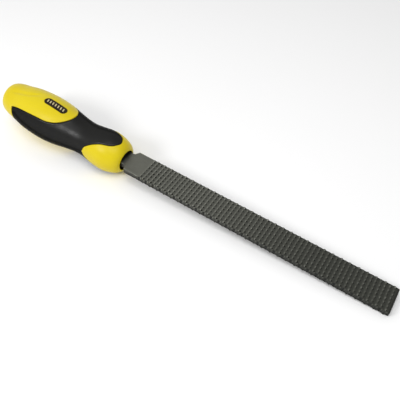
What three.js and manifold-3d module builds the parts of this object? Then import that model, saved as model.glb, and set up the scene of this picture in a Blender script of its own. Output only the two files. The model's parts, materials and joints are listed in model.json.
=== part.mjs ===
// A flat wood rasp with a two-material moulded handle. Millimetres.
// Tool frame: +X runs along the blade to its tip, x = 0 is the blade's shoulder, z = 0 is the middle of the
// blade's thickness, and the handle reaches towards -X. The last group lays the tool down on a bench at z = 0.
import * as THREE from "three";
import { mergeVertices } from "three/addons/utils/BufferGeometryUtils.js";
import Module from "manifold-3d";

// Blade
const BLADE_LENGTH = 200; // shoulder to tip
const BLADE_WIDTH = 20;
const BLADE_THICKNESS = 4.2;
const SHOULDER_CHAMFER = 2; // length of the slope from the neck up to the full width
const NECK_WIDTH = 12.8;
const TANG_LENGTH = 85;
const TANG_END_WIDTH = 5;

// Rasp teeth on both faces
const HEEL_LENGTH = 13; // smooth steel between the shoulder and the first row
const TOOTH_PITCH = 3; // row to row
const ROW_COUNT = 62;
const TEETH_PER_ROW = 6; // every other row has one more, standing in the gaps
const ROW_MARGIN = 0.35; // share of a tooth's space left over at the ends of a row
const TOOTH_HEIGHT = 0.55;
const MIDDLE_TOOTH_RISE = 0.1; // a tooth on the blade's centre line stands this much prouder
const TOOTH_HALF_WIDTH = 0.95;
const TOOTH_BACK = 1.1; // slope behind the point
const TOOTH_FRONT = 0.55; // steep face ahead of the point
const TOOTH_ROOT = 0.1; // depth of the tooth's foot in the blade

// File cuts along both narrow edges
const EDGE_CUT_DEPTH = 0.35;
const EDGE_CUT_LENGTH = 1.3;
const EDGE_CUT_LEAN = 1 / 3; // where along a cut it is deepest

// Handle, turned about its own axis: [x, radius] from the butt to the nose
const HANDLE_STATIONS = [
  [-119.2, 0],
  [-118.6, 6],
  [-116.5, 10.8],
  [-112, 12.9],
  [-104, 14.5],
  [-96, 16.2],
  [-86, 17.2],
  [-76, 17.4],
  [-66, 16.5],
  [-56, 14.7],
  [-48, 13.4],
  [-41, 12.9],
  [-34, 13.6],
  [-27, 14.7],
  [-20, 15.1],
  [-14, 14.1],
  [-9, 12.2],
  [-6.9, 10.6],
  [-5.6, 8.9],
  [-5.2, 8.2],
];
const HANDLE_DROP = 1.2; // the handle's axis lies this far under the blade's middle at the shoulder
const HANDLE_RAKE = THREE.MathUtils.degToRad(1.8); // the butt stands a little high
const PROFILE_SAMPLES = 34;
const ROUND_SEGMENTS = 40;
const OUTLINE_SAMPLES = 30;

// Mouth of the handle
const MOUTH_RADIUS = 7.8;
const MOUTH_LIP = 0.5; // length of the rounding into the mouth
const MOUTH_FLOOR_X = -16;
const TANG_SLOT_LEAD = 2; // the tang's slot opens this far into the mouth

// Soft grip
const GRIP_THICKNESS = 2.2;
const GRIP_REAR_X = -103.5;
const GRIP_TURN = THREE.MathUtils.degToRad(5.5); // the two-colour pattern is turned towards +Y by this much
const GAP = 0.3; // between neighbouring pieces
// Half widths of the pattern in plan: the forward tongue, then the hard pad behind the waist
const TONGUE_STATIONS = [
  [-46, 22],
  [-37.2, 14.3],
  [-34.6, 12.95],
  [-31.3, 12.1],
  [-26.8, 10.85],
  [-22.4, 9.45],
  [-18.1, 8.2],
  [-15.4, 7],
  [-13.4, 5.5],
  [-11.7, 3.1],
  [-10.9, 1.4],
  [-10.6, 0],
];
const PAD_STATIONS = [
  [-125, 12.2],
  [-103, 13.7],
  [-94.5, 14.4],
  [-84, 14.75],
  [-76, 14.6],
  [-70, 14.1],
  [-66, 13.2],
  [-62.4, 11.9],
  [-59.2, 10.05],
  [-56.5, 7.75],
  [-54.3, 5],
  [-53.1, 2.3],
  [-52.8, 0],
];
const UNDER_PAD_SHARE = 0.86; // the pad on the underside is narrower than the top one

// Badge plate in the top pad
const BADGE_X = -70;
const BADGE_LENGTH = 19.8;
const BADGE_WIDTH = 6;
const BADGE_THICKNESS = 1.1;
const BADGE_PROUD = 0.2;
const BADGE_ROUNDS = 12; // segments round each end of the badge

// Cutters
const REACH = 40; // longer than any section of the handle
const CUT_PROUD = 1; // how far a cutter stands outside the skin, or past the piece it shapes
const CUT_MARGIN = 4; // how far the grip's volume reaches past its pattern before it is trimmed

const TILT_STEPS = 6; // rounds of levelling the tool on the bench

const wasm = await Module();
wasm.setup();

// A closed three.js geometry as a solid.
function solidOf(geometry) {
  const bare = geometry.clone();
  bare.deleteAttribute("normal");
  bare.deleteAttribute("uv");
  const merged = mergeVertices(bare, 1e-4);
  return new wasm.Manifold(
    new wasm.Mesh({
      numProp: 3,
      vertProperties: new Float32Array(merged.attributes.position.array),
      triVerts: new Uint32Array(merged.index.array),
    }),
  );
}

// A solid as a named, flat-shaded mesh.
function meshOf(name, solid, material) {
  const { numProp, vertProperties, triVerts } = solid.getMesh();
  const indexed = new THREE.BufferGeometry();
  indexed.setAttribute("position", new THREE.BufferAttribute(vertProperties.slice(), numProp));
  indexed.setIndex(new THREE.BufferAttribute(triVerts.slice(), 1));
  const geometry = indexed.toNonIndexed();
  geometry.computeVertexNormals();
  const mesh = new THREE.Mesh(geometry, material);
  mesh.name = name;
  return mesh;
}

// A flat outline in the XY plane, raised from z = bottom to z = top.
function prism(points, bottom, top) {
  const shape = new THREE.Shape(points);
  const geometry = new THREE.ExtrudeGeometry(shape, { depth: top - bottom, bevelEnabled: false });
  geometry.translate(0, 0, bottom);
  return solidOf(geometry);
}

// A smooth outline symmetric about the X axis, from [x, half width] stations that end on the axis.
function symmetricOutline(stations, grow, samples) {
  const curve = new THREE.CatmullRomCurve3(
    stations.map(([x, half]) => new THREE.Vector3(x, half, 0)),
    false,
    "centripetal",
  );
  const side = curve.getSpacedPoints(samples).map((p, i) => {
    const slope = curve.getTangentAt(i / samples);
    return new THREE.Vector2(p.x + slope.y * -grow, p.y + slope.x * grow);
  });
  const tip = new THREE.Vector2(side.pop().x, 0);
  const far = side.map((p) => new THREE.Vector2(p.x, -p.y));
  return [...far, tip, ...side.reverse()];
}

// --- blade -------------------------------------------------------------------------------------------------

// The plan of the blade: tang, neck, chamfered shoulders and edges with file cuts.
function bladePlan() {
  const half = BLADE_WIDTH / 2;
  const side = [
    new THREE.Vector2(-TANG_LENGTH, TANG_END_WIDTH / 2),
    new THREE.Vector2(MOUTH_FLOOR_X, NECK_WIDTH / 2),
    new THREE.Vector2(-SHOULDER_CHAMFER, NECK_WIDTH / 2),
    new THREE.Vector2(0, half),
  ];
  for (let row = 0; row < ROW_COUNT; row++) {
    const x = HEEL_LENGTH + row * TOOTH_PITCH;
    side.push(new THREE.Vector2(x, half));
    side.push(new THREE.Vector2(x + EDGE_CUT_LENGTH * EDGE_CUT_LEAN, half - EDGE_CUT_DEPTH));
    side.push(new THREE.Vector2(x + EDGE_CUT_LENGTH, half));
  }
  side.push(new THREE.Vector2(BLADE_LENGTH, half));
  const far = side.map((p) => new THREE.Vector2(p.x, -p.y));
  return [...far, ...side.reverse()];
}

// One tooth: a leaning point on a three-sided foot. side is +1 on the top face and -1 on the bottom face.
function toothCorners(x, y, side, height) {
  const face = BLADE_THICKNESS / 2;
  const foot = side * (face - TOOTH_ROOT);
  const left = [x + TOOTH_FRONT, y + side * TOOTH_HALF_WIDTH, foot];
  const right = [x + TOOTH_FRONT, y - side * TOOTH_HALF_WIDTH, foot];
  const back = [x - TOOTH_BACK, y, foot];
  const point = [x + TOOTH_FRONT / 2, y, side * (face + height)];
  return [
    [left, right, back],
    [right, left, point],
    [left, back, point],
    [back, right, point],
  ];
}

// All the teeth, in rows whose teeth stand in the gaps of the row before.
function teethSolid() {
  const spacing = BLADE_WIDTH / (TEETH_PER_ROW + ROW_MARGIN);
  const outermost = BLADE_WIDTH / 2 - TOOTH_HALF_WIDTH;
  const corners = [];
  for (let row = 0; row < ROW_COUNT; row++) {
    const x = HEEL_LENGTH + TOOTH_BACK + row * TOOTH_PITCH;
    const count = TEETH_PER_ROW + (row % 2);
    for (let k = 0; k < count; k++) {
      const place = (k - (count - 1) / 2) * spacing;
      const y = THREE.MathUtils.clamp(place, -outermost, outermost);
      const height = TOOTH_HEIGHT + (y === 0 ? MIDDLE_TOOTH_RISE : 0);
      for (const side of [1, -1]) corners.push(...toothCorners(x, y, side, height).flat(2));
    }
  }
  const geometry = new THREE.BufferGeometry();
  geometry.setAttribute("position", new THREE.Float32BufferAttribute(corners, 3));
  return solidOf(geometry);
}

const blade = prism(bladePlan(), -BLADE_THICKNESS / 2, BLADE_THICKNESS / 2).add(teethSolid());

// --- handle ------------------------------------------------------------------------------------------------

const handleProfile = new THREE.CatmullRomCurve3(
  HANDLE_STATIONS.map(([x, radius]) => new THREE.Vector3(x, radius, 0)),
  false,
  "centripetal",
).getSpacedPoints(PROFILE_SAMPLES);

// Puts a lathe's own Y axis on the handle's axis.
const latheToHandle = new THREE.Matrix4().makeRotationZ(-Math.PI / 2);
const handleToTool = new THREE.Matrix4()
  .makeRotationY(HANDLE_RAKE)
  .setPosition(0, 0, -HANDLE_DROP);
const gripToTool = handleToTool.clone().multiply(new THREE.Matrix4().makeRotationX(-GRIP_TURN));

// Turns [radius, x] points about the handle's axis.
function turned(points) {
  const closed = points.map(([radius, x]) => new THREE.Vector2(radius, x));
  const geometry = new THREE.LatheGeometry(closed, ROUND_SEGMENTS);
  return solidOf(geometry.applyMatrix4(latheToHandle).applyMatrix4(handleToTool));
}

// The whole outside of the handle with its open mouth.
function handleBody() {
  const outside = handleProfile.map((p) => [Math.max(p.y, 0), p.x]);
  const nose = HANDLE_STATIONS.at(-1)[0];
  return turned([
    ...outside,
    [MOUTH_RADIUS, nose - MOUTH_LIP],
    [MOUTH_RADIUS, MOUTH_FLOOR_X],
    [0, MOUTH_FLOOR_X],
  ]);
}

// The handle's shape moved in by depth (out when negative), cut square between two stations.
function insetBody(depth, fromX, toX) {
  const middle = handleProfile.filter((p) => p.x > fromX && p.x < toX).map((p) => [p.y - depth, p.x]);
  const first = middle[0][0];
  const last = middle.at(-1)[0];
  return turned([[0, fromX], [first, fromX], ...middle, [last, toX], [0, toX]]);
}

// A plan outline cut square through the handle, in the frame that toTool brings to the tool's.
function planCutter(points, bottom, top, toTool) {
  return prism(points, bottom, top).transform(toTool.toArray());
}

// The soft grip's volume; clearance widens it on every hidden side to make its seat in the core.
function gripVolume(clearance) {
  const from = GRIP_REAR_X - CUT_MARGIN;
  const to = TONGUE_STATIONS.at(-1)[0] + CUT_MARGIN;
  const outer = insetBody(clearance > 0 ? -CUT_PROUD : 0, from, to);
  const inner = insetBody(GRIP_THICKNESS + clearance, from - CUT_PROUD, to + CUT_PROUD);
  const tongue = symmetricOutline(TONGUE_STATIONS, clearance, OUTLINE_SAMPLES);
  const rear = GRIP_REAR_X - clearance;
  const wide = TONGUE_STATIONS[0][1];
  const plan = [new THREE.Vector2(rear, -wide), ...tongue, new THREE.Vector2(rear, wide)];
  const underStations = PAD_STATIONS.map(([x, half]) => [x, half * UNDER_PAD_SHARE]);
  const pad = symmetricOutline(PAD_STATIONS, -clearance, OUTLINE_SAMPLES);
  const underPad = symmetricOutline(underStations, -clearance, OUTLINE_SAMPLES);
  return outer
    .subtract(inner)
    .intersect(planCutter(plan, -REACH, REACH, gripToTool))
    .subtract(planCutter(pad, 0, REACH, gripToTool))
    .subtract(planCutter(underPad, -REACH, 0, gripToTool));
}

// A capsule in plan, long in X.
function capsulePlan(length, width) {
  const radius = width / 2;
  const shape = new THREE.Shape();
  shape.absarc(BADGE_X + length / 2 - radius, 0, radius, -Math.PI / 2, Math.PI / 2);
  shape.absarc(BADGE_X - length / 2 + radius, 0, radius, Math.PI / 2, (3 * Math.PI) / 2);
  const points = shape.getPoints(BADGE_ROUNDS);
  points.pop(); // the last point repeats the first
  return points;
}

// The badge's volume: a capsule that follows the round of the pad.
function badgeVolume(clearance) {
  const from = BADGE_X - BADGE_LENGTH;
  const to = BADGE_X + BADGE_LENGTH;
  const top = insetBody(clearance > 0 ? -CUT_PROUD : -BADGE_PROUD, from, to);
  const depth = BADGE_THICKNESS - BADGE_PROUD + clearance;
  const under = insetBody(depth, from - CUT_PROUD, to + CUT_PROUD);
  const plan = capsulePlan(BADGE_LENGTH + 2 * clearance, BADGE_WIDTH + 2 * clearance);
  return top.subtract(under).intersect(planCutter(plan, 0, REACH, handleToTool));
}

// The slot that the tang fills.
function tangSlot() {
  const half = NECK_WIDTH / 2 + GAP;
  const end = TANG_END_WIDTH / 2 + GAP;
  const depth = BLADE_THICKNESS / 2 + GAP;
  const plan = [
    new THREE.Vector2(-TANG_LENGTH - GAP, -end),
    new THREE.Vector2(MOUTH_FLOOR_X, -half),
    new THREE.Vector2(MOUTH_FLOOR_X + TANG_SLOT_LEAD, -half),
    new THREE.Vector2(MOUTH_FLOOR_X + TANG_SLOT_LEAD, half),
    new THREE.Vector2(MOUTH_FLOOR_X, half),
    new THREE.Vector2(-TANG_LENGTH - GAP, end),
  ];
  return prism(plan, -depth, depth);
}

const core = handleBody().subtract(gripVolume(GAP)).subtract(badgeVolume(GAP)).subtract(tangSlot());
const grip = gripVolume(0);
const badge = badgeVolume(0);

// --- materials ---------------------------------------------------------------------------------------------

const steel = new THREE.MeshStandardMaterial({ color: 0x5f605a, roughness: 0.45, metalness: 0.9 });
const yellowPlastic = new THREE.MeshStandardMaterial({ color: 0xe8d326, roughness: 0.35, metalness: 0 });
const blackRubber = new THREE.MeshStandardMaterial({ color: 0x262626, roughness: 0.6, metalness: 0 });
const badgeCream = new THREE.MeshStandardMaterial({ color: 0xd9cfa0, roughness: 0.4, metalness: 0 });

// --- assembly ----------------------------------------------------------------------------------------------

const handleGroup = new THREE.Group();
handleGroup.name = "handle";
handleGroup.add(meshOf("handle_core", core, yellowPlastic));
handleGroup.add(meshOf("soft_grip", grip, blackRubber));
handleGroup.add(meshOf("badge_plate", badge, badgeCream));

const tool = new THREE.Group();
tool.name = "tool";
tool.add(meshOf("rasp_blade", blade, steel));
tool.add(handleGroup);

const rasp = new THREE.Group();
rasp.name = "wood_rasp";
rasp.add(tool);

// How far an object's lowest point is above z = 0 as it stands.
function lowest(object) {
  rasp.updateMatrixWorld(true);
  return new THREE.Box3().setFromObject(object, true).min.z;
}

// Tilt the tool until the handle's lowest point and the underside of the blade's tip are equally low.
const bladeMesh = tool.getObjectByName("rasp_blade");
for (let step = 0; step < TILT_STEPS; step++) {
  const difference = lowest(bladeMesh) - lowest(handleGroup);
  tool.rotation.y += difference / BLADE_LENGTH;
}

// Stand it on z = 0 with the middle of its bounding box at the origin.
rasp.updateMatrixWorld(true);
const box = new THREE.Box3().setFromObject(tool, true);
const middle = box.getCenter(new THREE.Vector3());
tool.position.set(-middle.x, -middle.y, -box.min.z);

export default rasp;
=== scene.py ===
import bisect
import json
import math
import random

import bpy
from mathutils import Matrix, Vector, kdtree


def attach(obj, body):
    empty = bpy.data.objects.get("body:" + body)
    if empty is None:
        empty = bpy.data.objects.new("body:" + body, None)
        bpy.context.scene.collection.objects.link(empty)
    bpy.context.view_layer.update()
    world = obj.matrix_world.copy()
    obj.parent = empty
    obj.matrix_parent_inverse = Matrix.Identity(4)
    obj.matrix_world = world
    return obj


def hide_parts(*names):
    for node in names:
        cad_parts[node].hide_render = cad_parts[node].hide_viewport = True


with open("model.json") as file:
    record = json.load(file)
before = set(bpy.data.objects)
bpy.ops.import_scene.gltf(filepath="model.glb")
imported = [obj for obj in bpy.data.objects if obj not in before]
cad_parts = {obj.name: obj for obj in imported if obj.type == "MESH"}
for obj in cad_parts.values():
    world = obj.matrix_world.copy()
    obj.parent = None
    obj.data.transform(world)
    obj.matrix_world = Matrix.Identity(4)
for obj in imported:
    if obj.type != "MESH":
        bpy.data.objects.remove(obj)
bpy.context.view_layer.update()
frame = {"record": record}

MM = 0.001
rng = random.Random(7)

# ---------------------------------------------------------------- dimensions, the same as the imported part
BLADE_LENGTH = 200.0
BLADE_HALF = 10.0
BLADE_FACE = 2.1  # half the thickness
NECK_HALF = 6.4
SHOULDER_CHAMFER = 2.0
TANG_LENGTH = 85.0
TANG_END_HALF = 2.5
HEEL_LENGTH = 13.0
TOOTH_PITCH = 3.0
ROW_COUNT = 62
TEETH_PER_ROW = 6
TOOTH_BACK = 1.1

HANDLE_STATIONS = [  # X and radius, from the butt to the nose
    (-119.2, 0.0), (-118.6, 6.0), (-116.5, 10.8), (-112.0, 12.9), (-104.0, 14.5),
    (-96.0, 16.2), (-86.0, 17.2), (-76.0, 17.4), (-66.0, 16.5), (-56.0, 14.7),
    (-48.0, 13.4), (-41.0, 12.9), (-34.0, 13.6), (-27.0, 14.7), (-20.0, 15.1),
    (-14.0, 14.1), (-9.0, 12.2), (-6.9, 10.6), (-5.6, 8.9), (-5.2, 8.2),
]
HANDLE_DROP = 1.2  # the handle's axis lies this far under the blade's middle
HANDLE_RAKE = math.radians(1.8)
MOUTH_RADIUS = 7.8
MOUTH_FLOOR_X = -16.0
GRIP_THICKNESS = 2.2
GRIP_REAR_X = -103.5
GRIP_TURN = math.radians(5.5)  # the two-colour pattern is turned towards +Y
GAP = 0.3  # between neighbouring pieces
TONGUE_STATIONS = [  # X and half width of the grip's forward tongue, in plan
    (-46.0, 22.0), (-37.2, 14.3), (-34.6, 12.95), (-31.3, 12.1), (-26.8, 10.85), (-22.4, 9.45),
    (-18.1, 8.2), (-15.4, 7.0), (-13.4, 5.5), (-11.7, 3.1), (-10.9, 1.4), (-10.6, 0.0),
]
PAD_STATIONS = [  # X and half width of the hard pad behind the waist, in plan
    (-125.0, 12.2), (-103.0, 13.7), (-94.5, 14.4), (-84.0, 14.75), (-76.0, 14.6),
    (-70.0, 14.1), (-66.0, 13.2), (-62.4, 11.9), (-59.2, 10.05), (-56.5, 7.75),
    (-54.3, 5.0), (-53.1, 2.3), (-52.8, 0.0),
]
UNDER_PAD_SHARE = 0.86  # the pad on the underside is narrower than the top one
BADGE_X = -70.0
BADGE_LENGTH = 19.8
BADGE_WIDTH = 6.0
BADGE_DEPTH = 0.9  # from the skin down to the badge's underside

# ---------------------------------------------------------------- frames
mounts = {m["name"]: m for m in frame["record"]["mounts"]}
along = Vector(mounts["tip_end_face"]["axis"]).normalized()
upward = Vector(mounts["heel_top_face"]["axis"]).normalized()
across = upward.cross(along)
tool_origin = Vector(mounts["tip_end_face"]["pos_m"]) - along * BLADE_LENGTH * MM
TOOL = Matrix((
    (along.x, across.x, upward.x, tool_origin.x),
    (along.y, across.y, upward.y, tool_origin.y),
    (along.z, across.z, upward.z, tool_origin.z),
    (0, 0, 0, 1),
)) @ Matrix.Diagonal((MM, MM, MM, 1))
# The handle's pieces are made in the frame of its two-colour pattern.
HANDLE = TOOL @ Matrix.Translation((0, 0, -HANDLE_DROP)) @ Matrix.Rotation(HANDLE_RAKE, 4, "Y")
HANDLE = HANDLE @ Matrix.Rotation(-GRIP_TURN, 4, "X")


def make_object(name, vertices, faces, frame_matrix, materials, face_materials, marks, sharp_angle=35.0):
    """A smooth-shaded mesh object from millimetres in a frame; marks are named values stored per vertex."""
    mesh = bpy.data.meshes.new(name)
    mesh.from_pydata([frame_matrix @ Vector(v) for v in vertices], [], faces)
    for material in materials:
        mesh.materials.append(material)
    mesh.polygons.foreach_set("material_index", face_materials)
    for mark, values in marks.items():
        mesh.attributes.new(mark, "FLOAT", "POINT").data.foreach_set("value", values)
    mesh.polygons.foreach_set("use_smooth", [True] * len(faces))
    mesh.update()
    mesh.set_sharp_from_angle(angle=math.radians(sharp_angle))
    piece = bpy.data.objects.new(name, mesh)
    bpy.context.scene.collection.objects.link(piece)
    return piece


# ---------------------------------------------------------------- smooth curves through stations
def centripetal(stations, per_span):
    """Points on a centripetal Catmull-Rom curve through 2-D stations, per_span to a station."""
    pts = [Vector(p) for p in stations]
    first = pts[0] * 2 - pts[1]
    last = pts[-1] * 2 - pts[-2]
    pts = [first] + pts + [last]
    out = []
    for i in range(1, len(pts) - 2):
        p0, p1, p2, p3 = pts[i - 1:i + 3]
        t0 = 0.0
        t1 = t0 + math.sqrt((p1 - p0).length)
        t2 = t1 + math.sqrt((p2 - p1).length)
        t3 = t2 + math.sqrt((p3 - p2).length)
        for k in range(per_span):
            t = t1 + (t2 - t1) * k / per_span
            a1 = p0 * ((t1 - t) / (t1 - t0)) + p1 * ((t - t0) / (t1 - t0))
            a2 = p1 * ((t2 - t) / (t2 - t1)) + p2 * ((t - t1) / (t2 - t1))
            a3 = p2 * ((t3 - t) / (t3 - t2)) + p3 * ((t - t2) / (t3 - t2))
            b1 = a1 * ((t2 - t) / (t2 - t0)) + a2 * ((t - t0) / (t2 - t0))
            b2 = a2 * ((t3 - t) / (t3 - t1)) + a3 * ((t - t1) / (t3 - t1))
            out.append(b1 * ((t2 - t) / (t2 - t1)) + b2 * ((t - t1) / (t2 - t1)))
    out.append(pts[-2])
    return out


def resample(points, step):
    """Points at even arc length along a polyline."""
    lengths = [0.0]
    for a, b in zip(points, points[1:]):
        lengths.append(lengths[-1] + (b - a).length)
    count = max(2, round(lengths[-1] / step))
    out = []
    for k in range(count + 1):
        want = lengths[-1] * k / count
        i = min(max(bisect.bisect_right(lengths, want) - 1, 0), len(points) - 2)
        span = lengths[i + 1] - lengths[i] or 1.0
        out.append(points[i].lerp(points[i + 1], (want - lengths[i]) / span))
    return out


def lookup(points):
    """Height of a polyline as a function of x, where x only grows."""
    xs = [p.x for p in points]

    def at(x):
        i = min(max(bisect.bisect_right(xs, x) - 1, 0), len(points) - 2)
        a, b = points[i], points[i + 1]
        share = (x - a.x) / ((b.x - a.x) or 1.0)
        return a.y + (b.y - a.y) * min(max(share, 0.0), 1.0)

    return at


# ---------------------------------------------------------------- materials
class Shader:
    """A node material: a Principled shader with helpers to hang procedural detail on it."""

    def __init__(self, name, roughness, metallic=0.0, specular=0.5):
        self.material = bpy.data.materials.new(name)
        self.material.use_nodes = True
        self.nodes = self.material.node_tree.nodes
        self.links = self.material.node_tree.links
        self.shader = self.nodes["Principled BSDF"]
        self.shader.inputs["Roughness"].default_value = roughness
        self.shader.inputs["Metallic"].default_value = metallic
        self.shader.inputs["Specular IOR Level"].default_value = specular
        self.place = self.nodes.new("ShaderNodeTexCoord").outputs["Object"]

    def feed(self, output, inlet):
        self.links.new(output, inlet)

    def noise(self, scale, detail=3.0, stretch=(1, 1, 1), roughness=0.5):
        mapping = self.nodes.new("ShaderNodeMapping")
        mapping.inputs["Scale"].default_value = stretch
        texture = self.nodes.new("ShaderNodeTexNoise")
        texture.inputs["Scale"].default_value = scale
        texture.inputs["Detail"].default_value = detail
        texture.inputs["Roughness"].default_value = roughness
        self.feed(self.place, mapping.inputs["Vector"])
        self.feed(mapping.outputs["Vector"], texture.inputs["Vector"])
        return texture.outputs["Fac"]

    def attribute(self, name):
        """A value stored per vertex."""
        node = self.nodes.new("ShaderNodeAttribute")
        node.attribute_name = name
        return node.outputs["Fac"]

    def along(self, start, end, most=1.0):
        """A share that grows smoothly from nothing at X = start to its most at X = end, in metres."""
        node = self.nodes.new("ShaderNodeSeparateXYZ")
        self.feed(self.place, node.inputs["Vector"])
        return self.spread(node.outputs["X"], start, end, 0.0, most, "SMOOTHSTEP")

    def spread(self, value, low, high, to_low, to_high, kind="LINEAR"):
        """The value with the range low to high brought to to_low to to_high, and held at the ends."""
        node = self.nodes.new("ShaderNodeMapRange")
        node.interpolation_type = kind
        node.inputs["From Min"].default_value = low
        node.inputs["From Max"].default_value = high
        node.inputs["To Min"].default_value = to_low
        node.inputs["To Max"].default_value = to_high
        self.feed(value, node.inputs["Value"])
        return node.outputs["Result"]

    def mix(self, share, first, second):
        """A colour between two, which may be colours or outputs."""
        node = self.nodes.new("ShaderNodeMix")
        node.data_type = "RGBA"
        self.feed(share, node.inputs["Factor"])
        for inlet, value in ((node.inputs["A"], first), (node.inputs["B"], second)):
            self.set(inlet, value)
        return node.outputs["Result"]

    def set(self, inlet, value):
        if isinstance(value, tuple):
            inlet.default_value = (*value, 1)
        else:
            self.feed(value, inlet)

    def colour(self, value):
        self.set(self.shader.inputs["Base Color"], value)

    def rough(self, value):
        self.feed(value, self.shader.inputs["Roughness"])

    def bump(self, height, distance, strength):
        """Adds a fine relief, distance metres high, on top of any that is there."""
        node = self.nodes.new("ShaderNodeBump")
        node.inputs["Distance"].default_value = distance
        node.inputs["Strength"].default_value = strength
        self.feed(height, node.inputs["Height"])
        last = self.shader.inputs["Normal"]
        if last.is_linked:
            self.feed(last.links[0].from_socket, node.inputs["Normal"])
        self.feed(node.outputs["Normal"], last)


SCALE_DARK = (0.132, 0.134, 0.113)
SCALE_LIGHT = (0.161, 0.163, 0.138)
GROUND_STEEL = (0.157, 0.159, 0.135)
STEEL_BETWEEN_ROWS = (0.102, 0.104, 0.089)
RIDGE_STEEL = (0.173, 0.175, 0.149)
PAINTED_SHADE_STEEL = (0.02, 0.02, 0.018)
POINT_STEEL = (0.418, 0.42, 0.371)
TIP_PAINTED_SHADE = (0.01, 0.012, 0.009)


def steel_material():
    """Hardened grey-brown steel: mill scale in blotches, brighter tooth points, painted shade in the pits and
    down the edges, a painted glint on the edges' crests, a ground heel, and painted shade darkening it
    towards the tip.
    """
    m = Shader("hardened_steel", 0.45, metallic=0.85, specular=0.5)
    blotch = m.spread(m.noise(160, 5, roughness=0.65), 0.35, 0.65, 0, 1)
    scale = m.mix(blotch, SCALE_DARK, SCALE_LIGHT)
    streak = m.spread(m.noise(900, 2, (0.12, 1, 1)), 0.3, 0.7, 0, 1)
    ground = m.mix(streak, scale, GROUND_STEEL)
    # relief: the height in millimetres, lowered by painted shade and raised by painted glint
    relief = m.attribute("relief")
    toothed = m.mix(m.attribute("teeth"), ground, STEEL_BETWEEN_ROWS)
    ridged = m.mix(m.spread(relief, 0.04, 0.24, 0, 1), toothed, RIDGE_STEEL)
    # painted shade: nearly black where the relief is low, in the pits, file cuts, down the edges, in the
    # mouth and on the end bevel
    with_painted_shade = m.mix(m.spread(relief, -0.4, 0.0, 0.95, 0), ridged, PAINTED_SHADE_STEEL)
    # the painted glint on the edges also lands in these brighter steel colours
    pointed = m.mix(m.spread(relief, 0.22, 0.48, 0, 0.9), with_painted_shade, POINT_STEEL)
    m.colour(m.mix(m.along(-0.005, 0.12, 0.54), pointed, TIP_PAINTED_SHADE))  # painted shade: the steel is coloured darker towards the tip
    m.rough(m.spread(m.noise(420, 4), 0.3, 0.7, 0.36, 0.52))
    m.bump(m.noise(2600, 3), 0.00006, 0.5)
    m.bump(m.noise(1500, 2, (0.1, 1, 1)), 0.00004, 0.4)
    return m.material


YELLOW_DEEP = (0.63, 0.49, 0.004)
YELLOW_LIGHT = (0.655, 0.525, 0.007)
YELLOW_SPECK = (0.6, 0.43, 0.02)
YELLOW_SEAM_SHADE = (0.2, 0.13, 0.0)


def yellow_material():
    """Moulded hard plastic with a fine eroded skin, a slight waviness and painted shade in the seams."""
    m = Shader("yellow_plastic", 0.36, specular=0.22)
    drift = m.spread(m.noise(45, 3), 0.35, 0.65, 0, 1)
    moulded = m.mix(drift, YELLOW_DEEP, YELLOW_LIGHT)
    speck = m.spread(m.noise(1900, 2), 0.62, 0.78, 0, 0.25)
    worn = m.mix(speck, moulded, YELLOW_SPECK)
    # painted shade: darker near the borders with the grip and the badge
    seam_shade = m.spread(m.attribute("rim"), 0.05, 0.5, 0.8, 0)
    m.colour(m.mix(seam_shade, worn, YELLOW_SEAM_SHADE))
    m.rough(m.spread(m.noise(300, 4), 0.3, 0.7, 0.3, 0.42))
    m.bump(m.noise(3200, 3), 0.00004, 0.45)
    m.bump(m.noise(55, 2), 0.0006, 0.25)
    return m.material


RUBBER_REAR_SHADE = (0.0005, 0.0005, 0.0005)
RUBBER_NOSE = (0.007, 0.007, 0.0063)
RUBBER_DUST = (0.009, 0.009, 0.0083)


def rubber_material():
    """Soft-touch black rubber with a pebbled grain, greyer towards the nose with painted shade darkening the
    rear, and dull at a glancing view.
    """
    m = Shader("black_rubber", 0.35, specular=0.1)
    facing = m.nodes.new("ShaderNodeLayerWeight").outputs["Facing"]
    m.feed(m.spread(facing, 0.12, 0.55, 0.27, 0.008), m.shader.inputs["Specular IOR Level"])
    # painted shade: the rubber is coloured darker towards the rear of the handle
    rear_shaded = m.mix(m.along(-0.15, -0.06), RUBBER_REAR_SHADE, RUBBER_NOSE)
    dust = m.spread(m.noise(130, 5), 0.35, 0.7, 0, 0.25)
    m.colour(m.mix(dust, rear_shaded, RUBBER_DUST))
    m.rough(m.spread(m.noise(240, 4), 0.3, 0.7, 0.3, 0.39))
    m.bump(m.noise(2300, 4, roughness=0.6), 0.00011, 0.5)
    return m.material


def plain_plastic(name, first, second, roughness, specular):
    """Plastic with a faint mottling between two colours and a fine skin."""
    m = Shader(name, roughness, specular=specular)
    m.colour(m.mix(m.spread(m.noise(800, 3), 0.35, 0.65, 0, 1), first, second))
    m.rough(m.spread(m.noise(500, 3), 0.3, 0.7, roughness - 0.05, roughness + 0.06))
    m.bump(m.noise(3000, 2), 0.00003, 0.4)
    return m.material


steel = steel_material()
yellow = yellow_material()
black = rubber_material()
# painted shade: the inside of the mouth is coloured dark instead of yellow
dark = plain_plastic("mouth_shade", (0.02, 0.012, 0.0005), (0.035, 0.022, 0.001), 0.7, 0.05)
badge_black = plain_plastic("badge_rim", (0.012, 0.008, 0.004), (0.018, 0.012, 0.006), 0.4, 0.15)
badge_cream = plain_plastic("badge_panel", (0.5, 0.42, 0.22), (0.56, 0.48, 0.27), 0.42, 0.4)


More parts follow.
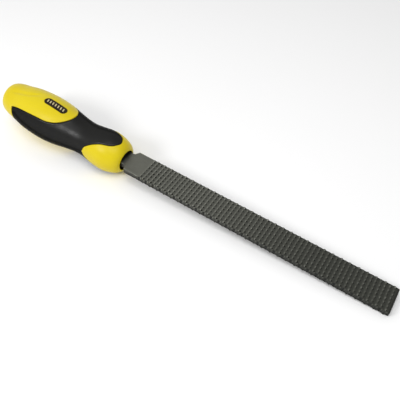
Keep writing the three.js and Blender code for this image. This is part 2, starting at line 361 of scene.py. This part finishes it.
# ---------------------------------------------------------------- blade
# Teeth: u runs along the blade from a tooth's point, v across it.
ROW_MARGIN = 0.35  # share of a tooth's space left over at the ends of a row
SPACING = 2 * BLADE_HALF / (TEETH_PER_ROW + ROW_MARGIN)
TOOTH_RISE = 0.6
TOOTH_HALF = 1.4
BACK_LENGTH = 1.5
BACK_START_HALF = 0.35  # half width where the back begins to rise
BACK_SCALLOP = 1.5
FACE_LENGTH = 0.22  # from the point down to the bottom of the pit
PIT_DEPTH = 0.45
PIT_LENGTH = 1.3
PIT_INSET = 0.2  # the pit is this much narrower than its tooth on each side
PIT_END_HALF = 0.2
PIT_SCOOP = 0.9
RIDGE_RISE = 0.22  # the steel pushed up along a whole row
RIDGE_HALF = 0.9
EDGE_TOOTH_GAIN = 1.35  # the teeth cut through by the edges stand a little prouder
LOWEST_TOOTH = 0.75  # as a share of a whole tooth
WOBBLE_ALONG = 0.12  # how far a tooth may stand from its place
WOBBLE_ACROSS = 0.15
WOBBLE_REACH = 0.2
CLEAR_OF_PITS = 0.3  # steel this high isn't hollowed by the pit beside it
UNDERSIDE_WEAR = 0.8  # the teeth it rests on are a little lower

# Edges: places in a pitch are shares of it, counted from the heel.
EDGE_CUT_DEPTH = 0.45
EDGE_CUT_PLACE = 0.2
EDGE_CUT_REACH = 0.28
EDGE_GLINT = 0.6  # brightness of the painted glint on the crest between two file cuts
EDGE_GLINT_PLACE = 0.65
EDGE_GLINT_REACH = 0.2
EDGE_SMOOTH_END = 1.0
EDGE_BURR = 0.3  # how far an edge tooth bulges past the blade's side
BURR_BEHIND = 0.5  # middle of the burr, behind the tooth's point
BURR_HALF = 1.1
CORNER_ACROSS = 0.2  # the long corners are chamfered by this much of the face
CORNER_DOWN = 0.22  # and this much of the edge
EDGE_BAND = 0.4  # where the edge's middle band ends, as a share of half the thickness
END_BEVEL = 1.4
END_BEVEL_DROP = 0.45
END_ROUNDING = {0.0: 0.3, 0.08: 0.1}  # inset of the last sections, by their distance from the end

# Painted shade, in the millimetres of relief that the steel's colour follows.
EDGE_SHADE = 0.2
EDGE_SHADE_DOWNWARD = 0.06  # more painted shade per millimetre down the edge
CUT_SHADE = 0.6  # per millimetre of cut
BEVEL_SHADE = 0.3
NECK_SHADE = 0.3
NECK_SHADE_X = -3.5  # painted shade inside the handle's mouth, from here inwards
NECK_SHADE_LENGTH = 3.0

# Sections along the blade: the first place, the place to stop short of, and the step.
SECTION_STRETCHES = [
    (-TANG_LENGTH, MOUTH_FLOOR_X, 3.0),
    (MOUTH_FLOOR_X + 0.5, -SHOULDER_CHAMFER, 0.5),
    (-SHOULDER_CHAMFER, 0.0, 0.25),
    (0.0, HEEL_LENGTH - 0.5, 0.5),
    (HEEL_LENGTH - 0.4, BLADE_LENGTH - 0.25, 0.25),
]
END_SECTIONS = (0.25, 0.08, 0.0)  # the last sections' distances from the end
COLUMNS = 84  # quads across a face


def smooth(t):
    t = min(max(t, 0.0), 1.0)
    return t * t * (3 - 2 * t)


def dome(v, half):
    """A share that is one at v = 0 and rounds down to nothing at v = half."""
    return max(0.0, 1 - (v / half) ** 2)


def tooth_height(u, v):
    """Height beside a tooth's point: a scalloped back rises to it, a steep face drops into its pit."""
    if -BACK_LENGTH < u <= 0:
        back = 1 + u / BACK_LENGTH
        half = BACK_START_HALF + (TOOTH_HALF - BACK_START_HALF) * back
        return TOOTH_RISE * back ** BACK_SCALLOP * dome(v, half)
    if 0 < u <= FACE_LENGTH:
        top = TOOTH_RISE * dome(v, TOOTH_HALF)
        foot = -PIT_DEPTH * dome(v, TOOTH_HALF - PIT_INSET)
        return top + (foot - top) * smooth(u / FACE_LENGTH)
    if FACE_LENGTH < u < FACE_LENGTH + PIT_LENGTH:
        ahead = 1 - (u - FACE_LENGTH) / PIT_LENGTH
        half = PIT_END_HALF + (TOOTH_HALF - PIT_INSET - PIT_END_HALF) * ahead
        return -PIT_DEPTH * ahead ** PIT_SCOOP * dome(v, half)
    return 0.0


def nearest_row(x):
    return round((x - HEEL_LENGTH - TOOTH_BACK) / TOOTH_PITCH)


def past_row(x, row):
    """How far x is past the points of a row."""
    return x - (HEEL_LENGTH + TOOTH_BACK + row * TOOTH_PITCH)


def face_height(x, y, wobble):
    """The punched relief on a face of the blade."""
    row = nearest_row(x)
    rise, pit = 0.0, 0.0
    for r in (row - 1, row, row + 1):
        if not 0 <= r < ROW_COUNT:
            continue
        count = TEETH_PER_ROW + (r % 2)
        u = past_row(x, r)
        if not -BACK_LENGTH - WOBBLE_REACH < u < FACE_LENGTH + PIT_LENGTH + WOBBLE_REACH:
            continue
        rise = max(rise, RIDGE_RISE * dome(u + RIDGE_HALF / 2, RIDGE_HALF))
        nearest = round(y / SPACING + (count - 1) / 2)
        for k in (nearest - 1, nearest, nearest + 1):
            if 0 <= k < count:
                du, dv, gain = wobble[(r, k)]
                if count > TEETH_PER_ROW and k in (0, count - 1):
                    gain = EDGE_TOOTH_GAIN
                h = tooth_height(u - du, y - (k - (count - 1) / 2) * SPACING - dv) * gain
                rise, pit = max(rise, h), min(pit, h)
    return rise if rise > CLEAR_OF_PITS else rise + pit


def edge_wave(x, place, reach):
    """A share that peaks at a place in every pitch of an edge, and is nothing along its smooth ends."""
    if x < HEEL_LENGTH or x > BLADE_LENGTH - EDGE_SMOOTH_END:
        return 0.0
    phase = ((x - HEEL_LENGTH) / TOOTH_PITCH) % 1.0
    return max(0.0, 1 - abs(phase - place) / reach)


def edge_burr(x):
    """How far the side bulges out beside the teeth that reach the edge, one row in two."""
    row = nearest_row(x)
    if row % 2 == 0 or not 0 <= row < ROW_COUNT:
        return 0.0
    return EDGE_BURR * dome(past_row(x, row) + BURR_BEHIND, BURR_HALF)


def half_width(x):
    if x >= 0:
        return BLADE_HALF
    if x > -SHOULDER_CHAMFER:
        return NECK_HALF + (BLADE_HALF - NECK_HALF) * (1 + x / SHOULDER_CHAMFER)
    if x > MOUTH_FLOOR_X:
        return NECK_HALF
    share = (x + TANG_LENGTH) / (MOUTH_FLOOR_X + TANG_LENGTH)
    return TANG_END_HALF + (NECK_HALF - TANG_END_HALF) * share


def blade_stations():
    """Where the blade's sections stand: sparse on the tang, close round the shoulder and on the teeth."""
    stations = []
    for start, stop, step in SECTION_STRETCHES:
        stations += [start + step * i for i in range(math.ceil((stop - start) / step))]
    stations += [BLADE_LENGTH - distance for distance in END_SECTIONS]
    return [round(x, 3) for x in stations]


def section(x, wobbles):
    """One closed section of the blade as (point, relief) pairs, with painted shade and glint in the relief:
    top face, +Y edge, bottom face, -Y edge.
    """
    half = half_width(x)
    toothed = x > HEEL_LENGTH - 1
    end = END_ROUNDING.get(round(BLADE_LENGTH - x, 3), 0.0)
    bevel = max(0.0, 1 - (BLADE_LENGTH - x) / END_BEVEL)
    face = BLADE_FACE - END_BEVEL_DROP * bevel - end
    cut = EDGE_CUT_DEPTH * edge_wave(x, EDGE_CUT_PLACE, EDGE_CUT_REACH)
    glint = EDGE_GLINT * edge_wave(x, EDGE_GLINT_PLACE, EDGE_GLINT_REACH)
    burr = edge_burr(x)
    shade = BEVEL_SHADE * bevel + NECK_SHADE * smooth((NECK_SHADE_X - x) / NECK_SHADE_LENGTH)
    points = []
    for side, wobble in ((1, wobbles[0]), (-1, wobbles[1])):
        for j in range(COLUMNS + 1):
            y = side * (2 * j / COLUMNS - 1) * (half - CORNER_ACROSS - end + burr)
            h = face_height(x, y, wobble) * (1 - bevel) if toothed else 0.0
            if side < 0:
                h *= UNDERSIDE_WEAR
            points.append(((x, y, side * (face + h)), h - shade))
        corner, band = face - CORNER_DOWN, BLADE_FACE * EDGE_BAND
        for z in (corner, band, -band, -corner):
            bright = glint if side * z > 0 else 0.0
            painted_edge_shade = EDGE_SHADE + EDGE_SHADE_DOWNWARD * (BLADE_FACE - side * z) + CUT_SHADE * cut - burr
            points.append(((x, side * (half - end - cut + burr), side * z), bright - painted_edge_shade))
    return points


def tooth_wobble():
    """How far one tooth stands from its place along and across the blade, and its share of a whole tooth."""
    along_blade = rng.uniform(-WOBBLE_ALONG, WOBBLE_ALONG)
    across_blade = rng.uniform(-WOBBLE_ACROSS, WOBBLE_ACROSS)
    return along_blade, across_blade, rng.uniform(LOWEST_TOOTH, 1.0)


def face_wobbles():
    """Every tooth's wobble on one face, by row and place in the row."""
    return {(r, k): tooth_wobble() for r in range(ROW_COUNT) for k in range(TEETH_PER_ROW + 1)}


def build_blade():
    """The whole blade, lofted through its sections and closed at both ends."""
    wobbles = [face_wobbles(), face_wobbles()]
    sections = [section(x, wobbles) for x in blade_stations()]
    ring = len(sections[0])
    vertices = [point for row in sections for point, _ in row]
    relief = [h for row in sections for _, h in row]
    teeth = [min(max(point[0] - HEEL_LENGTH, 0.0), 1.0) for point in vertices]
    faces = []
    for i in range(len(sections) - 1):
        for j in range(ring):
            a, b = i * ring + j, i * ring + (j + 1) % ring
            faces.append((a, a + ring, b + ring, b))
    last = (len(sections) - 1) * ring
    faces.append(tuple(range(ring)))
    faces.append(tuple(last + j for j in reversed(range(ring))))
    marks = {"relief": relief, "teeth": teeth}
    return make_object("blade_steel", vertices, faces, TOOL, [steel], [0] * len(faces), marks, sharp_angle=42)


blade = build_blade()
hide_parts("rasp_blade")
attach(blade, "root")

# ---------------------------------------------------------------- handle surface
GRID_STEP = 0.8
AROUND = 160
CURVE_STEPS = 24  # between two stations
BORDER_STEP = 0.2  # along a border of the pattern
ARC_STEPS = 80
NEAR_BORDER = 4.0  # nearer than this, distances are to the border's line and not to its points
OUTSIDE = -10.0  # a field's value far from what it measures
LIP_POINTS = [(-5.18, 8.0), (-5.35, 7.87), (-5.8, MOUTH_RADIUS)]
BORE_PLACES = (-7.0, -9.0, -12.0, MOUTH_FLOOR_X)
FLOOR_RING = 4.0  # radius of the ring on the mouth's floor

outline = centripetal(HANDLE_STATIONS, CURVE_STEPS)
radius_at = lookup(outline)
outside = resample(outline, GRID_STEP)
bore = [(x, MOUTH_RADIUS) for x in BORE_PLACES]
mouth_floor = [(MOUTH_FLOOR_X, FLOOR_RING), (MOUTH_FLOOR_X, 0.0)]
profile = outside + [Vector(p) for p in LIP_POINTS + bore + mouth_floor]
LIP_START = len(outside)

pad_curve = resample(centripetal(PAD_STATIONS, CURVE_STEPS), BORDER_STEP)
tongue_curve = resample(centripetal(TONGUE_STATIONS, CURVE_STEPS), BORDER_STEP)
top_pad_half = lookup(pad_curve)
tongue_half = lookup(tongue_curve)


def pad_half(x, top):
    """Half the width of the hard pad at x."""
    return top_pad_half(x) * (1 if top else UNDER_PAD_SHARE)


def surface(s, turn, lift=0.0):
    """A point over the handle: s counts profile points, and the turn is from the top towards +Y."""
    i = min(int(s), len(profile) - 2)
    p = profile[i].lerp(profile[i + 1], s - i)
    before = profile[max(i - 1, 0)]
    after = profile[min(i + 2, len(profile) - 1)]
    slope = (after - before).normalized()
    normal = Vector((-slope.y, slope.x))
    x = p.x + normal.x * lift
    r = max(p.y + normal.y * lift, 0.0) if p.y > 0 else 0.0
    return (x, r * math.sin(turn), r * math.cos(turn))


def on_skin(x, y, top):
    """The point of the handle's skin over plan point (x, y)."""
    r = radius_at(x)
    height = math.sqrt(max(r * r - y * y, 0.0))
    return Vector((x, y, height if top else -height))


def border_lines():
    """The borders between hard plastic and soft grip, as 3-D polylines on the skin."""
    lines = []
    for side in (1, -1):
        for top in (True, False):
            pad_places = [p.x for p in pad_curve if p.x >= GRIP_REAR_X]
            lines.append([on_skin(x, side * pad_half(x, top), top) for x in pad_places])
            lines.append([on_skin(p.x, side * p.y, top) for p in tongue_curve if p.y <= radius_at(p.x)])
        r = radius_at(GRIP_REAR_X)
        start = math.asin(pad_half(GRIP_REAR_X, True) / r)
        end = math.pi - math.asin(pad_half(GRIP_REAR_X, False) / r)
        turns = [start + (end - start) * k / ARC_STEPS for k in range(ARC_STEPS + 1)]
        lines.append([Vector((GRIP_REAR_X, side * r * math.sin(t), r * math.cos(t))) for t in turns])
    return lines


LINES = border_lines()
border_points = [(i, j) for i, line in enumerate(LINES) for j in range(len(line))]
tree = kdtree.KDTree(len(border_points))
for index, (i, j) in enumerate(border_points):
    tree.insert(LINES[i][j], index)
tree.balance()


def segment_distance(p, a, b):
    """How far p is from the straight piece of line between a and b."""
    d = b - a
    share = max(0.0, min(1.0, (p - a).dot(d) / (d.length_squared or 1.0)))
    return (p - (a + d * share)).length


def is_grip(x, y, z):
    """Whether a point of the skin belongs to the soft grip."""
    if not GRIP_REAR_X <= x <= TONGUE_STATIONS[-1][0]:
        return False
    if x < PAD_STATIONS[-1][0] and abs(y) < pad_half(x, z > 0):
        return False
    return x < TONGUE_STATIONS[0][0] or abs(y) < tongue_half(x)


def grip_field(point):
    """Distance to the border, positive inside the soft grip."""
    p = Vector(point)
    _, index, near = tree.find(p)
    if near < NEAR_BORDER:
        i, j = border_points[index]
        line = LINES[i]
        near = min(
            segment_distance(p, line[max(j - 1, 0)], line[j]),
            segment_distance(p, line[j], line[min(j + 1, len(line) - 1)]),
        )
    return near if is_grip(p.x, p.y, p.z) else -near


# The badge: a dark raised rim and ground with a row of plain cream bars.
BADGE_EDGE = 0.85  # width of the raised rim
BAR_LEAN = 0.25
BAR_HALF_HEIGHT = 1.25
BAR_WIDTH = 0.95
BAR_PITCH = 2.4
BAR_COUNT = 7
FIRST_BAR = -7.68
BAR_STARTS = [FIRST_BAR + BAR_PITCH * i for i in range(BAR_COUNT)]


def badge_plan(point):
    """A point in the badge's own plan: x from its middle to the tip, y across it."""
    x, y, z = point
    return x - BADGE_X, y * math.cos(GRIP_TURN) + z * math.sin(GRIP_TURN)


def badge_field(point):
    """Distance inside the badge's capsule outline, measured in plan on the top side."""
    if point[2] < 0:
        return OUTSIDE
    x, y = badge_plan(point)
    straight = BADGE_LENGTH / 2 - BADGE_WIDTH / 2
    return BADGE_WIDTH / 2 - math.hypot(max(abs(x) - straight, 0.0), y)


def slant_field(point):
    """Place along the badge on lines that lean across it."""
    x, y = badge_plan(point)
    return x + BAR_LEAN * y


def lane_field(point):
    """Distance inside the middle lane of the badge."""
    return BAR_HALF_HEIGHT - abs(badge_plan(point)[1])


FIELDS = (grip_field, badge_field, slant_field, lane_field)
GRIP_FIELD, BADGE_FIELD, SLANT, LANE = range(4)


class Skin:
    """Polygons over the handle's surface whose corners remember their place and their fields."""

    def __init__(self):
        self.corners = []
        self.polygons = []
        rows = len(profile)
        for i in range(rows):
            for j in range(AROUND):
                self.add(float(i), 2 * math.pi * j / AROUND)
        for i in range(rows - 1):
            for j in range(AROUND):
                k = (j + 1) % AROUND
                a, b = i * AROUND + j, i * AROUND + k
                c, d = b + AROUND, a + AROUND
                if i == 0:
                    self.polygons.append([a, d, c])
                elif i == rows - 2:
                    self.polygons.append([a, d, b])
                else:
                    self.polygons.append([a, d, c, b])

    def add(self, s, turn, fields=None):
        """A new corner; its fields are measured unless they are given. The mouth is outside them all."""
        if fields is None and s >= LIP_START:
            fields = (OUTSIDE,) * len(FIELDS)
        elif fields is None:
            point = surface(s, turn)
            fields = tuple(field(point) for field in FIELDS)
        self.corners.append((s, turn, fields))
        return len(self.corners) - 1

    def split(self, which, level, on_badge=False):
        """Cuts the polygons, or only the badge's, along the line where a field equals level."""
        cuts = {}
        result = []
        uncut = []
        for polygon in self.polygons:
            if on_badge and self.mean(polygon, BADGE_FIELD) <= 0:
                uncut.append(polygon)
                continue
            values = [self.corners[c][2][which] - level for c in polygon]
            if all(v >= 0 for v in values) or all(v <= 0 for v in values):
                result.append(polygon)
                continue
            above, below = [], []
            for n, c in enumerate(polygon):
                m = (n + 1) % len(polygon)
                d = polygon[m]
                va, vb = values[n], values[m]
                if va >= 0:
                    above.append(c)
                if va <= 0:
                    below.append(c)
                if va * vb < 0:
                    key = (min(c, d), max(c, d))
                    if key not in cuts:
                        cuts[key] = self.cut(c, d, va / (va - vb), which, level)
                    above.append(cuts[key])
                    below.append(cuts[key])
            result += [side for side in (above, below) if len(side) > 2]
        self.polygons = result + [self.with_cuts(polygon, cuts) for polygon in uncut]

    @staticmethod
    def with_cuts(polygon, cuts):
        """The polygon with the new corners that its neighbours' cuts put on its sides."""
        corners = []
        for c, d in zip(polygon, polygon[1:] + polygon[:1]):
            corners.append(c)
            if (min(c, d), max(c, d)) in cuts:
                corners.append(cuts[(min(c, d), max(c, d))])
        return corners

    def cut(self, c, d, share, which, level):
        """A new corner on the side from c to d, where the field that is being cut equals level."""
        sa, ta, fa = self.corners[c]
        sb, tb, fb = self.corners[d]
        if tb - ta > math.pi:
            tb -= 2 * math.pi
        if ta - tb > math.pi:
            tb += 2 * math.pi
        fields = [a + (b - a) * share for a, b in zip(fa, fb)]
        fields[which] = level
        return self.add(sa + (sb - sa) * share, ta + (tb - ta) * share, tuple(fields))

    def mean(self, polygon, which):
        """A field's mean over a polygon's corners."""
        return sum(self.corners[c][2][which] for c in polygon) / len(polygon)


# Height of each piece's skin by distance from its own border.
GRIP_RIM = [(0.0, -0.55), (0.12, -0.32), (0.3, -0.12), (0.6, 0.02), (1.1, 0.13), (1.8, 0.05)]
CORE_RIM = [(0.0, -0.55), (0.12, -0.2), (0.3, 0.0), (0.6, 0.1), (1.1, 0.1), (1.8, 0.0)]
BADGE_SEAT_RIM = [(0.0, -0.3), (0.12, -0.06), (0.3, 0.0)]
BADGE_RIM = [(0.0, -0.1), (0.15, 0.14), (0.45, 0.2), (BADGE_EDGE, 0.18), (BADGE_EDGE + 0.15, 0.08)]
BADGE_SEAT_REACH = 0.31  # just past the seat's rim

skin = Skin()
for distance, _ in GRIP_RIM:
    skin.split(GRIP_FIELD, distance)
for distance, _ in CORE_RIM[1:]:
    skin.split(GRIP_FIELD, -distance)
for distance, _ in BADGE_RIM:
    skin.split(BADGE_FIELD, distance)
for distance, _ in BADGE_SEAT_RIM[1:]:
    skin.split(BADGE_FIELD, -distance)
for start in BAR_STARTS:
    skin.split(SLANT, start, on_badge=True)
    skin.split(SLANT, start + BAR_WIDTH, on_badge=True)
skin.split(LANE, 0.0, on_badge=True)

grip_faces = [p for p in skin.polygons if skin.mean(p, GRIP_FIELD) > 0]
badge_faces = [p for p in skin.polygons if skin.mean(p, BADGE_FIELD) > 0]
core_faces = [p for p in skin.polygons if skin.mean(p, GRIP_FIELD) <= 0 and skin.mean(p, BADGE_FIELD) <= 0]


def badge_is_dark(polygon):
    """Whether a face of the badge is rim or ground rather than one of its bars."""
    slant = skin.mean(polygon, SLANT)
    on_bar = any(start < slant < start + BAR_WIDTH for start in BAR_STARTS)
    return not on_bar or skin.mean(polygon, LANE) < 0 or skin.mean(polygon, BADGE_FIELD) < BADGE_EDGE


def rim(distance, steps):
    """Height of a piece's skin at a distance from its border, from (distance, height) steps."""
    for (d0, h0), (d1, h1) in zip(steps, steps[1:]):
        if distance <= d1:
            return h0 + (h1 - h0) * (distance - d0) / (d1 - d0)
    return steps[-1][1]


def shell(name, faces, which, steps, depth, materials, inks):
    """A closed shell: its skin, rimmed by its distance in a field, the same faces at a depth, and walls."""
    used = sorted({c for f in faces for c in f})
    order = {c: n for n, c in enumerate(used)}
    count = len(used)
    vertices, rims = [], []
    for c in used:
        s, turn, fields = skin.corners[c]
        vertices.append(surface(s, turn, rim(fields[which], steps)))
        rims.append(abs(fields[GRIP_FIELD]))
    for c in used:
        s, turn, _ = skin.corners[c]
        vertices.append(surface(s, turn, -depth))
        rims.append(0.0)
    outer = [[order[c] for c in f] for f in faces]
    inner = [[v + count for v in reversed(f)] for f in outer]
    edges = {(a, b): None for f in outer for a, b in zip(f, f[1:] + f[:1])}
    walls = [[b, a, a + count, b + count] for (a, b) in edges if (b, a) not in edges]
    inks = inks + [0] * (len(inner) + len(walls))
    return make_object(name, vertices, outer + inner + walls, HANDLE, materials, inks, {"rim": rims})


grip = shell("grip_rubber", grip_faces, GRIP_FIELD, GRIP_RIM, GRIP_THICKNESS, [black], [0] * len(grip_faces))
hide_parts("soft_grip")
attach(grip, "root")

badge_colours = [badge_black, badge_cream]
badge_inks = [0 if badge_is_dark(p) else 1 for p in badge_faces]
badge = shell("badge_inlay", badge_faces, BADGE_FIELD, BADGE_RIM, BADGE_DEPTH, badge_colours, badge_inks)
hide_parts("badge_plate")
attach(badge, "root")


CREASE = [(-108.0, -25.0), (-99.0, -19.0), (-93.0, -14.5), (-86.0, -1.0)]  # X and degrees from the top
CREASE_DEPTH = 0.6
CREASE_HALF = 2.4
CREASE_RUN_OUT = 4.0  # how far the crease goes on past its first and last places
CREASE_FADE_IN = 6.0
CREASE_FADE_OUT = 8.0
crease_turn = lookup([Vector(p) for p in CREASE])


def crease_depth(point):
    """Depth of the shallow crease that runs from the butt into the rear of the top pad."""
    x, y, z = point
    start, end = CREASE[0][0] - CREASE_RUN_OUT, CREASE[-1][0] + CREASE_RUN_OUT
    if z < 0 or not start < x < end:
        return 0.0
    away = (math.atan2(y, z) - math.radians(crease_turn(x))) * radius_at(x)
    fade = smooth((x - start) / CREASE_FADE_IN) * smooth((end - x) / CREASE_FADE_OUT)
    return CREASE_DEPTH * fade * dome(away, CREASE_HALF) ** 2


def build_core():
    """The hard body: its skin, the seats under the grip and the badge, and the walls round those seats."""
    vertices, rims = [], []
    numbers = {}
    seat_lifts = {"grip": -GRIP_THICKNESS - GAP, "badge": -BADGE_DEPTH - GAP}

    def skin_lift(s, turn, fields):
        if s >= LIP_START:
            return 0.0
        lift = rim(-fields[GRIP_FIELD], CORE_RIM) - crease_depth(surface(s, turn))
        if fields[BADGE_FIELD] > -BADGE_SEAT_REACH:
            lift = min(lift, rim(-fields[BADGE_FIELD], BADGE_SEAT_RIM))
        return lift

    def vertex(c, kind):
        """The number of a corner's vertex on the skin or in a seat; the corners at a pole share one."""
        s, turn, fields = skin.corners[c]
        at_pole = s in (0, len(profile) - 1)
        key = ("pole" if at_pole else "corner", s if at_pole else c, kind)
        if key not in numbers:
            numbers[key] = len(vertices)
            on_top = kind == "skin"
            vertices.append(surface(s, turn, skin_lift(s, turn, fields) if on_top else seat_lifts[kind]))
            rims.append(min(abs(fields[GRIP_FIELD]), abs(fields[BADGE_FIELD])) if on_top else 0.0)
        return numbers[key]

    faces, inks = [], []
    edge_kinds = {}
    for kind, group in (("skin", core_faces), ("grip", grip_faces), ("badge", badge_faces)):
        for f in group:
            face = [vertex(c, kind) for c in f]
            face = [v for n, v in enumerate(face) if v != face[n - 1]]
            if len(face) < 3:
                continue
            faces.append(face)
            s_mean = sum(skin.corners[c][0] for c in f) / len(f)
            inks.append(1 if s_mean > LIP_START + 1 else 0)  # painted shade inside the mouth
            for a, b in zip(f, f[1:] + f[:1]):
                edge_kinds[(a, b)] = kind
    for (a, b), kind in edge_kinds.items():
        seat = edge_kinds.get((b, a))
        if kind == "skin" and seat in seat_lifts:
            faces.append([vertex(b, "skin"), vertex(a, "skin"), vertex(a, seat), vertex(b, seat)])
            inks.append(0)
    return make_object("handle_body", vertices, faces, HANDLE, [yellow, dark], inks, {"rim": rims})


core = build_core()
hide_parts("handle_core")
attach(core, "root")

# ---------------------------------------------------------------- floor, light and camera
FLOOR_HALF = 3.0  # metres
floor_mesh = bpy.data.meshes.new("floor")
corners = [(x * FLOOR_HALF, y * FLOOR_HALF, 0) for x, y in ((-1, -1), (1, -1), (1, 1), (-1, 1))]
floor_mesh.from_pydata(corners, [], [(0, 1, 2, 3)])
floor = bpy.data.objects.new("floor", floor_mesh)
bpy.context.scene.collection.objects.link(floor)
floor_shader = Shader("floor_white", 0.9, specular=0.05)
floor_shader.colour(floor_shader.mix(floor_shader.noise(3, 2), (0.94, 0.94, 0.94), (0.96, 0.96, 0.96)))
floor_mesh.materials.append(floor_shader.material)

HANDLE_MIDDLE = HANDLE @ Vector(((HANDLE_STATIONS[0][0] + HANDLE_STATIONS[-1][0]) / 2, 0, 0))


def softbox(name, direction, distance, size, radiance):
    """A round soft light aimed at the handle from a direction, distance and size in metres."""
    light = bpy.data.lights.new(name, "AREA")
    light.shape = "DISK"
    light.size = size
    light.energy = radiance * math.pi * math.pi * (size / 2) ** 2
    lamp = bpy.data.objects.new(name, light)
    aim = Vector(direction).normalized()
    lamp.location = HANDLE_MIDDLE + aim * distance
    lamp.rotation_euler = aim.to_track_quat("Z", "Y").to_euler()
    bpy.context.scene.collection.objects.link(lamp)


softbox("overhead", (0.25, -0.3, 0.92), 0.8, 0.55, 3.3)
softbox("front_left", (-0.24, -0.75, 0.63), 0.7, 0.21, 15.5)

# The room is brighter on the handle's side than on the blade's, by the X of the direction.
BRIGHT_SIDE = (-0.5, 0.8)
DIM_SIDE = (0.2, 0.5)

world = bpy.data.worlds.new("studio")
world.use_nodes = True
sky = world.node_tree
sky.nodes["Background"].inputs["Color"].default_value = (1, 1, 1, 1)
heading = sky.nodes.new("ShaderNodeSeparateXYZ")
sky.links.new(sky.nodes.new("ShaderNodeTexCoord").outputs["Generated"], heading.inputs["Vector"])
glow = sky.nodes.new("ShaderNodeMapRange")
glow.inputs["From Min"].default_value, glow.inputs["To Min"].default_value = BRIGHT_SIDE
glow.inputs["From Max"].default_value, glow.inputs["To Max"].default_value = DIM_SIDE
sky.links.new(heading.outputs["X"], glow.inputs["Value"])
sky.links.new(glow.outputs["Result"], sky.nodes["Background"].inputs["Strength"])
bpy.context.scene.world = world
bpy.context.scene.view_settings.view_transform = "Standard"

# The camera, in the tool's frame: its place, where it looks and what is roughly up.
CAMERA_PLACE = Vector((161.7, -202.4, 272.8))
CAMERA_LOOK = Vector((-0.2893, 0.5687, -0.7700))
CAMERA_UP = Vector((-0.4522, 0.6278, 0.6336))

camera_data = bpy.data.cameras.new("camera")
camera_data.sensor_width = 36.0
camera_data.lens = 46.0
camera_data.clip_start = 0.01
camera = bpy.data.objects.new("camera", camera_data)
bpy.context.scene.collection.objects.link(camera)
tool_turn = TOOL.to_3x3().normalized()
look = (tool_turn @ CAMERA_LOOK).normalized()
right = look.cross(tool_turn @ CAMERA_UP).normalized()
camera_turn = Matrix((right, right.cross(look), -look)).transposed().to_4x4()
camera.matrix_world = Matrix.Translation(TOOL @ CAMERA_PLACE) @ camera_turn
bpy.context.scene.camera = camera
